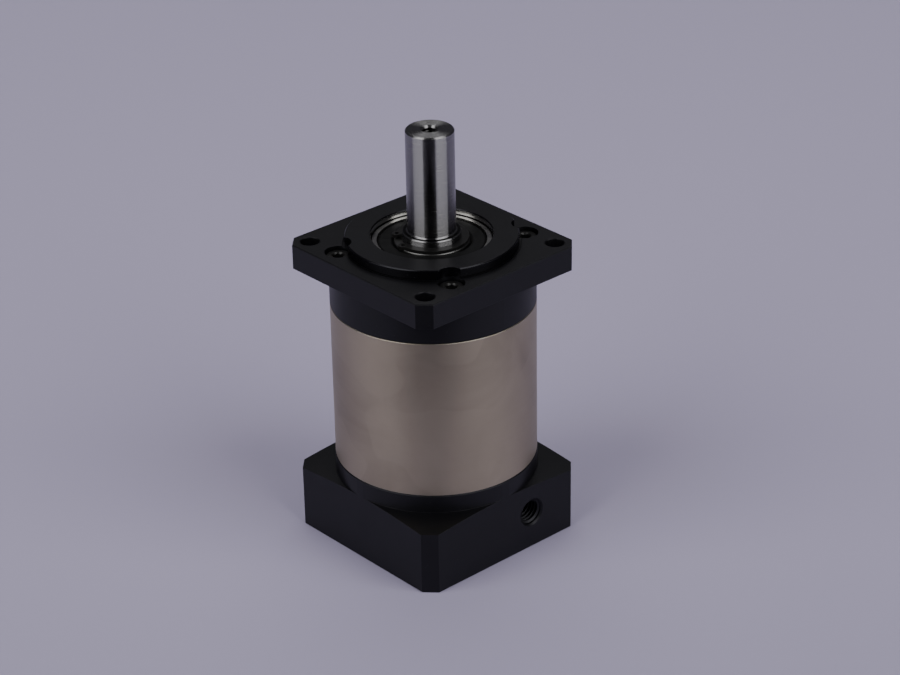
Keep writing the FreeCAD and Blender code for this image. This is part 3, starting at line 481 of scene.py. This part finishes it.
def makeFlangeFinish():
    # black all over, smoother on the pilot's wall, with the bearing seat turned bare after dyeing
    spec, gap = bareSeat, pilotWall["gap"]
    material = makeBlackAnodise("blackWithBareSeat")
    tree = material.node_tree
    shader = tree.nodes["Principled BSDF"]
    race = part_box("front_bearing_outer_race")[1]
    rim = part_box("output_housing")[1].z
    foot = mounts["output_face"]["pos_m"][2]
    wall = boreMask(tree, mountRadius("output_pilot") + gap, foot + gap, rim - gap)
    seat = boreMask(tree, race.x + spec["slack"], race.z + spec["footGap"], rim - spec["rimGap"])
    lines = useEffect(tree, "lines", spec["lines"])
    blackColour, blackRough, blackNormal = (
        shader.inputs[label].links[0].from_socket for label in ("Base Color", "Roughness", "Normal"))
    colour = mixColours(tree, seat, blackColour, spec["colour"])
    rough = mixValues(tree, wall, blackRough, pilotWall["roughness"])
    rough = mixValues(tree, seat, rough, spec["roughness"])
    height = sums(tree, "MULTIPLY", lines["Height"], seat)
    tree.links.new(seat, shader.inputs["Metallic"])
    finish(tree, shader, colour, rough, height, spec["bump"], blackNormal)
    return material


satinNickel = {
    "shader": {"Metallic": 1.0, "Anisotropic": 0.10},
    "dull": (0.288, 0.248, 0.194), "clear": (0.380, 0.329, 0.255), "edge": (0.40, 0.39, 0.39),
    "stain": 0.5, "smooth": 0.40, "rough": 0.49,
    "lines": {"Line Scale": 7000, "Wander": 0.9},
    "marks": {"Smudge Scale": 34, "Stain Scale": 38},
    "wear": {"Reach": 0.0003, "Amount": 1.0},
    "bump": {"Strength": 0.10, "Distance": 0.00002},
}


def makeSatinNickel():
    spec = satinNickel
    material, tree, shader = startFinish("satinNickel", spec["shader"])
    turnTangent(tree, shader)
    lines = useEffect(tree, "lines", spec["lines"])
    marks = useEffect(tree, "marks", spec["marks"])
    wear = useEffect(tree, "wear", spec["wear"])
    stained = sums(tree, "MULTIPLY", marks["Stains"], spec["stain"])
    dulled = sums(tree, "MULTIPLY", marks["Smudges"], 1 - spec["stain"])
    colour = mixColours(tree, sums(tree, "ADD", dulled, stained), spec["clear"], spec["dull"])
    colour = mixColours(tree, wear["Wear"], colour, spec["edge"])
    rough = rangeOf(tree, lines["Streaks"], spec["smooth"], spec["rough"])
    finish(tree, shader, colour, rough, lines["Height"], spec["bump"])
    return material


groundSteel = {
    "shader": {"Metallic": 1.0, "Anisotropic": 1.0},
    "low": (0.250, 0.247, 0.252), "high": (0.295, 0.290, 0.294), "smooth": 0.24, "rough": 0.29,
    # dark tone: painted shade down the tapped hole, and a darker collar ledge
    "oily": (0.018, 0.018, 0.018), "mouthDepth": 0.00062, "litDepth": 0.0015,
    "slack": 0.00005, "rootFillet": 0.0004,
    "lines": {"Line Scale": 14000, "Wander": 1.4},
    "wear": {"Reach": 0.00015},
    "bump": {"Strength": 0.012, "Distance": 0.00001},
}


def makeGroundSteel():
    # ground all over; darker on the collar's ledge, and painted shade down the tapped hole,
    # where the first thread crests are left out of the shade as they still catch the light
    spec, slack = groundSteel, groundSteel["slack"]
    material, tree, shader = startFinish("groundSteel", spec["shader"])
    turnTangent(tree, shader)
    lines = useEffect(tree, "lines", spec["lines"])
    rounded = useEffect(tree, "wear", spec["wear"])["Rounded"]
    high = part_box("output_shaft")[1]
    radius = mountRadius("shaft_end_thread")
    journal = mounts["output_shaft"]
    level = journal["pos_m"][2] - journal["dims"]["length_mm"] / 1000 / 2 - spec["rootFillet"]
    hole = boreMask(tree, radius + slack, high.z / 2, high.z - spec["mouthDepth"])
    crest = boreMask(tree, radius - slack, high.z - spec["litDepth"], high.z)
    ledge = boreMask(tree, high.x, level - slack, level + slack)
    # painted shade in the hole below the lit first crests, plus the darker collar ledge
    oily = sums(tree, "MAXIMUM", sums(tree, "SUBTRACT", hole, crest), ledge)
    colour = mixColours(tree, lines["Streaks"], spec["low"], spec["high"])
    colour = mixColours(tree, oily, colour, spec["oily"])
    rough = rangeOf(tree, lines["Height"], spec["smooth"], spec["rough"])
    finish(tree, shader, colour, rough, lines["Height"], spec["bump"], rounded)
    return material


bearingSteel = {
    "shader": {"Metallic": 1.0, "Anisotropic": 0.6},
    "low": (0.44, 0.435, 0.42), "high": (0.55, 0.54, 0.52), "smooth": 0.24, "rough": 0.32,
    "lines": {"Line Scale": 16000, "Wander": 0.8},
    "marks": {"Smudge Scale": 160},
    "bump": {"Strength": 0.015, "Distance": 0.00001},
}
# a darker, rougher copy of the bearing steel, given to the front inner race
oilyRace = {
    **bearingSteel,
    "low": (0.13, 0.13, 0.128), "high": (0.18, 0.178, 0.175), "smooth": 0.34, "rough": 0.40,
}


def makeBearingSteel(name, spec):
    material, tree, shader = startFinish(name, spec["shader"])
    turnTangent(tree, shader)
    lines = useEffect(tree, "lines", spec["lines"])
    marks = useEffect(tree, "marks", spec["marks"])
    colour = mixColours(tree, lines["Streaks"], spec["low"], spec["high"])
    rough = rangeOf(tree, marks["Smudges"], spec["smooth"], spec["rough"])
    finish(tree, shader, colour, rough, lines["Height"], spec["bump"])
    return material


gearSteel = {
    "shader": {"Metallic": 1.0},
    "oily": (0.20, 0.195, 0.185), "bare": (0.42, 0.41, 0.395), "edge": (0.6, 0.59, 0.57),
    "smooth": 0.20, "rough": 0.38,
    "lines": {"Line Scale": 5000, "Wander": 3.0},
    "marks": {"Smudge Scale": 220},
    "wear": {"Reach": 0.00015, "Amount": 0.6},
    "bump": {"Strength": 0.15, "Distance": 0.00002},
}


def makeGearSteel():
    spec = gearSteel
    material, tree, shader = startFinish("gearSteel", spec["shader"])
    lines = useEffect(tree, "lines", spec["lines"])
    marks = useEffect(tree, "marks", spec["marks"])
    wear = useEffect(tree, "wear", spec["wear"])
    # smudges of oil darken the bare gear steel
    colour = mixColours(tree, marks["Smudges"], spec["bare"], spec["oily"])
    colour = mixColours(tree, wear["Wear"], colour, spec["edge"])
    rough = rangeOf(tree, marks["Smudges"], spec["rough"], spec["smooth"])
    finish(tree, shader, colour, rough, lines["Height"], spec["bump"])
    return material


blackOxide = {
    "shader": {"Metallic": 0.4},
    "deep": (0.008, 0.0078, 0.008), "worn": (0.020, 0.0195, 0.019), "edge": (0.09, 0.086, 0.082),
    "smooth": 0.24, "rough": 0.36,
    "grain": {"Grain Scale": 7000, "Cloud Scale": 500},
    "wear": {"Reach": 0.00012, "Amount": 0.8},
    "bump": {"Strength": 0.12, "Distance": 0.00002},
}


def makeBlackOxide():
    spec = blackOxide
    material, tree, shader = startFinish("blackOxide", spec["shader"])
    grain = useEffect(tree, "grain", spec["grain"])
    wear = useEffect(tree, "wear", spec["wear"])
    colour = mixColours(tree, grain["Clouds"], spec["deep"], spec["worn"])
    colour = mixColours(tree, wear["Wear"], colour, spec["edge"])
    rough = rangeOf(tree, grain["Clouds"], spec["smooth"], spec["rough"])
    finish(tree, shader, colour, rough, grain["Height"], spec["bump"])
    return material


sealRubber = {
    "shader": {"Metallic": 0.0, "Specular IOR Level": 0.12},
    "deep": (0.004, 0.004, 0.0045), "pale": (0.009, 0.009, 0.0095), "smooth": 0.42, "rough": 0.58,
    "grain": {"Grain Scale": 6000, "Cloud Scale": 260},
    "marks": {"Smudge Scale": 180},
    "bump": {"Strength": 0.2, "Distance": 0.00003},
}


def makeSealRubber():
    spec = sealRubber
    material, tree, shader = startFinish("sealRubber", spec["shader"])
    grain = useEffect(tree, "grain", spec["grain"])
    marks = useEffect(tree, "marks", spec["marks"])
    colour = mixColours(tree, grain["Clouds"], spec["deep"], spec["pale"])
    rough = rangeOf(tree, marks["Smudges"], spec["smooth"], spec["rough"])
    finish(tree, shader, colour, rough, grain["Height"], spec["bump"])
    return material


sinteredBronze = {
    "shader": {"Metallic": 1.0},
    "deep": (0.34, 0.20, 0.085), "pale": (0.52, 0.33, 0.15), "smooth": 0.28, "rough": 0.42,
    "grain": {"Grain Scale": 5000, "Cloud Scale": 400},
    "bump": {"Strength": 0.3, "Distance": 0.00003},
}
cagePlastic = {
    "shader": {"Metallic": 0.0, "IOR": 1.53},
    "deep": (0.045, 0.040, 0.034), "pale": (0.085, 0.076, 0.064), "smooth": 0.38, "rough": 0.55,
    "grain": {"Grain Scale": 4000, "Cloud Scale": 300},
    "bump": {"Strength": 0.15, "Distance": 0.00003},
}


def makeGrainy(name, spec):
    material, tree, shader = startFinish(name, spec["shader"])
    grain = useEffect(tree, "grain", spec["grain"])
    colour = mixColours(tree, grain["Clouds"], spec["deep"], spec["pale"])
    rough = rangeOf(tree, grain["Clouds"], spec["smooth"], spec["rough"])
    finish(tree, shader, colour, rough, grain["Height"], spec["bump"])
    return material


paleCloth = {
    "shader": {"Metallic": 0.0, "IOR": 1.4},
    # the near colour is painted shade on the camera's side of the floor
    "near": (0.394, 0.363, 0.506), "far": (0.474, 0.431, 0.605), "nearEdge": -0.22, "farEdge": 0.12,
    "unevenness": 0.12, "unevenShift": -0.06, "smooth": 0.8, "rough": 0.95,
    "grain": {"Grain Scale": 1800, "Cloud Scale": 3.5},
    "bump": {"Strength": 0.15, "Distance": 0.0002},
}


def makeCloth():
    # painted shade: the cloth is darker towards the camera's side of the floor and a little paler away from
    # it
    spec = paleCloth
    material, tree, shader = startFinish("paleCloth", spec["shader"])
    grain = useEffect(tree, "grain", spec["grain"])
    away = vectors(tree, "DOT_PRODUCT", objectPlace(tree), -around(0, 1, 0))["Value"]
    uneven = sums(tree, "MULTIPLY_ADD", grain["Clouds"], spec["unevenness"], spec["unevenShift"])
    blend = stretch(tree, sums(tree, "ADD", away, uneven), spec["nearEdge"], spec["farEdge"],
                    interpolation_type="SMOOTHSTEP")
    colour = mixColours(tree, blend, spec["near"], spec["far"])
    rough = rangeOf(tree, grain["Clouds"], spec["smooth"], spec["rough"])
    finish(tree, shader, colour, rough, grain["Height"], spec["bump"])
    return material


darkReflectionTone = {
    "shader": {"Roughness": 1.0},
    "deep": (0.014, 0.0125, 0.014), "pale": (0.020, 0.018, 0.020),
    "grain": {"Cloud Scale": 12},
}


# the sheet's own tone, seen only in reflections as painted darkness
def makeDarkReflectionSheet():
    spec = darkReflectionTone
    material, tree, shader = startFinish("darkCard", spec["shader"])
    grain = useEffect(tree, "grain", spec["grain"])
    colour = mixColours(tree, grain["Clouds"], spec["deep"], spec["pale"])
    tree.links.new(colour, shader.inputs["Base Color"])
    return material


finishes = {
    "black_anodised": makeBlackAnodise(),
    "nickel_plate": makeSatinNickel(),
    "ground_steel": makeGroundSteel(),
    "bearing_steel": makeBearingSteel("bearingSteel", bearingSteel),
    "gear_steel": makeGearSteel(),
    "black_steel": makeBlackOxide(),
    "seal_rubber": makeSealRubber(),
    "bronze": makeGrainy("sinteredBronze", sinteredBronze),
    "cage_plastic": makeGrainy("cagePlastic", cagePlastic),
}


def dress(piece, finishMaterial):
    piece.data.materials.clear()
    piece.data.materials.append(finishMaterial)


for part in frame["record"]["subparts"]:
    dress(frame["nodes"][part["node"]], finishes[part["material_slot"]])
dress(frame["nodes"]["output_housing"], makeFlangeFinish())
dress(frame["nodes"]["front_bearing_inner_race"], makeBearingSteel("oilyRace", oilyRace))
dress(floor, makeCloth())
dress(card, makeDarkReflectionSheet())
print("stage: finishes given to the CAD nodes")


# Socket head cap screws: knurled head, chamfered rim, flared hexagon socket

capScrew = {
    "headRadius": 0.0035, "headHeight": 0.004, "ridges": 36, "ridgeDepth": 0.00014,
    "rimBevel": 0.0003, "rimSteps": 3, "socketSides": 6, "across": 0.003, "socketDepth": 0.0022,
    "flare": 0.00022, "flareSides": 48, "shankRadius": 0.002, "tipBevel": 0.0004, "tipSteps": 2,
    "smoothAngle": 32,
}
levelNormal = 0.9


def modelCapScrew(name, shankLength):
    spec = capScrew
    count, radius, top = 2 * spec["ridges"], spec["headRadius"], spec["headHeight"]
    selectOnly(None)
    bpy.ops.mesh.primitive_cylinder_add(vertices=count, radius=radius, depth=top, location=(0, 0, top / 2))
    screw = bpy.context.object
    screw.name = name
    bpy.ops.object.transform_apply(location=True)
    bpy.ops.object.mode_set(mode="EDIT")
    pickFaces(screw, lambda normal: normal.z > levelNormal)
    bpy.ops.mesh.bevel(offset=spec["rimBevel"], segments=spec["rimSteps"], affect="EDGES")

    def isGroove(first, second):
        upright = abs(first.z - second.z) > top / 2
        step = round(math.atan2(first.y, first.x) / (2 * math.pi / count))
        return upright and step % 2 == 0

    pickEdges(screw, isGroove)
    narrow = 1 - spec["ridgeDepth"] / radius
    bpy.ops.transform.resize(value=(narrow, narrow, 1), center_override=(0, 0, top / 2))
    pickFaces(screw, lambda normal: normal.z < -levelNormal)
    bpy.ops.mesh.inset(thickness=radius - spec["shankRadius"], depth=0)
    bpy.ops.mesh.extrude_region_move(TRANSFORM_OT_translate={"value": (0, 0, -shankLength)})
    bpy.ops.mesh.bevel(offset=spec["tipBevel"], segments=spec["tipSteps"], affect="EDGES")
    bpy.ops.object.mode_set(mode="OBJECT")
    corner = spec["across"] / 2 / math.cos(math.pi / spec["socketSides"])
    bpy.ops.mesh.primitive_cylinder_add(vertices=spec["socketSides"], radius=corner,
                                        depth=2 * spec["socketDepth"], location=(0, 0, top))
    carve(screw, bpy.context.object)
    selectOnly(None)
    cone = 2 * (corner + spec["flare"])
    bpy.ops.mesh.primitive_cone_add(vertices=spec["flareSides"], radius1=0, radius2=cone, depth=cone,
                                    location=(0, 0, top))
    carve(screw, bpy.context.object)
    return screw


def copyTo(pattern, name, place, turn, body, slotName, node):
    piece = pattern.copy()
    piece.data = pattern.data.copy()
    piece.name = name
    bpy.context.scene.collection.objects.link(piece)
    piece.location, piece.rotation_euler = place, turn
    settle(piece, capScrew["smoothAngle"])
    dress(piece, finishes[slotName])
    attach(piece, body)
    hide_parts(node)


# the sockets are turned as chance left them: by a first angle, and a step from screw to screw
screwPlaces = {"count": 4, "offCorner": 14.5, "flangeSockets": (0.35, 1.9), "adapterSockets": (0.8, 1.3)}


def fitScrews():
    spec = screwPlaces
    head = capScrew["headHeight"]
    flangeLow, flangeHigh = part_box("flange_screws")
    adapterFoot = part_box("adapter_screws")[0].z
    quarter = 360 / spec["count"]
    reach = (flangeHigh.x - capScrew["headRadius"]) / math.cos(math.radians(quarter / 2 - spec["offCorner"]))
    pattern = modelCapScrew("casingScrewPattern", flangeHigh.z - flangeLow.z - head)
    for number in range(spec["count"]):
        turn = math.radians(quarter / 2 + spec["offCorner"] + quarter * number)
        x, y = reach * math.cos(turn), reach * math.sin(turn)
        first, step = spec["flangeSockets"]
        place, turned = (x, y, flangeHigh.z - head), (0, 0, first + step * number)
        copyTo(pattern, f"flangeScrew{number + 1}", place, turned,
               "housing", "black_steel", "flange_screws")
        first, step = spec["adapterSockets"]
        place, turned = (x, y, adapterFoot + head), (math.pi, 0, first + step * number)
        copyTo(pattern, f"adapterScrew{number + 1}", place, turned,
               "housing", "black_steel", "adapter_screws")
    bpy.data.objects.remove(pattern)
    clampLow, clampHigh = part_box("clamp_screw")
    seat = (clampHigh.x - head, (clampLow.y + clampHigh.y) / 2, (clampLow.z + clampHigh.z) / 2)
    pattern = modelCapScrew("clampScrewPattern", seat[0] - clampLow.x)
    copyTo(pattern, "clampScrew", seat, (0, math.pi / 2, 0), "input", "black_steel", "clamp_screw")
    bpy.data.objects.remove(pattern)


fitScrews()
print("stage: cap screws modelled")


# Thread ridges inside the clamp access hole and the tapped hole of the shaft end

accessThread = {
    "inset": 0.0002, "turn": (0, 0, math.pi), "bite": 0.00003, "height": 0.00069, "pitch": 0.00125,
    "footWidth": 0.00110, "crestWidth": 0.00030, "turns": 9, "steps": 48, "smoothAngle": 28,
}
shaftThread = {
    "inset": 0.0007, "turn": (0, math.pi / 2, 0), "bite": 0.00003, "height": 0.00023, "pitch": 0.0008,
    "footWidth": 0.0007, "crestWidth": 0.0002, "turns": 5, "steps": 48, "smoothAngle": 28,
}


def cutThread(name, spec, mouth, radius, body, slotName):
    height = spec["height"]
    middle = radius + spec["bite"] - height / 2
    selectOnly(None)
    bpy.ops.mesh.primitive_plane_add(size=1, location=(0, 0, 0))
    ridge = bpy.context.object
    ridge.name = name
    bpy.ops.object.mode_set(mode="EDIT")
    bpy.ops.mesh.select_all(action="SELECT")
    bpy.ops.transform.resize(value=(spec["footWidth"], height, 1))
    bpy.ops.transform.translate(value=(spec["footWidth"] / 2, middle, 0))
    pickEdges(ridge, lambda first, second: max(first.y, second.y) < middle)
    bpy.ops.transform.resize(value=(spec["crestWidth"] / spec["footWidth"], 1, 1))
    bpy.ops.mesh.select_all(action="SELECT")
    bpy.ops.mesh.delete(type="ONLY_FACE")
    bpy.ops.object.mode_set(mode="OBJECT")
    bpy.ops.object.modifier_add(type="SCREW")
    screw = ridge.modifiers[-1]
    screw.axis, screw.angle, screw.screw_offset = "X", 2 * math.pi, spec["pitch"]
    screw.iterations, screw.steps, screw.render_steps = spec["turns"], spec["steps"], spec["steps"]
    bpy.ops.object.modifier_apply(modifier=screw.name)
    bpy.ops.object.mode_set(mode="EDIT")
    bpy.ops.mesh.select_all(action="SELECT")
    bpy.ops.mesh.remove_doubles(threshold=mergeDistance)
    bpy.ops.mesh.fill_holes(sides=0)
    bpy.ops.mesh.normals_make_consistent(inside=False)
    bpy.ops.object.mode_set(mode="OBJECT")
    ridge.location, ridge.rotation_euler = mouth, spec["turn"]
    settle(ridge, spec["smoothAngle"])
    dress(ridge, finishes[slotName])
    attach(ridge, body)


def fitThreads():
    access = Vector(mounts["clamp_access"]["pos_m"])
    access.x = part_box("motor_adapter")[1].x - accessThread["inset"]
    radius = mountRadius("clamp_access")
    cutThread("accessThread", accessThread, access, radius, "housing", "black_anodised")
    shaftEnd = Vector((0, 0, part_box("output_shaft")[1].z - shaftThread["inset"]))
    radius = mountRadius("shaft_end_thread")
    cutThread("shaftThread", shaftThread, shaftEnd, radius, "output", "ground_steel")


fitThreads()
print("stage: threads modelled")
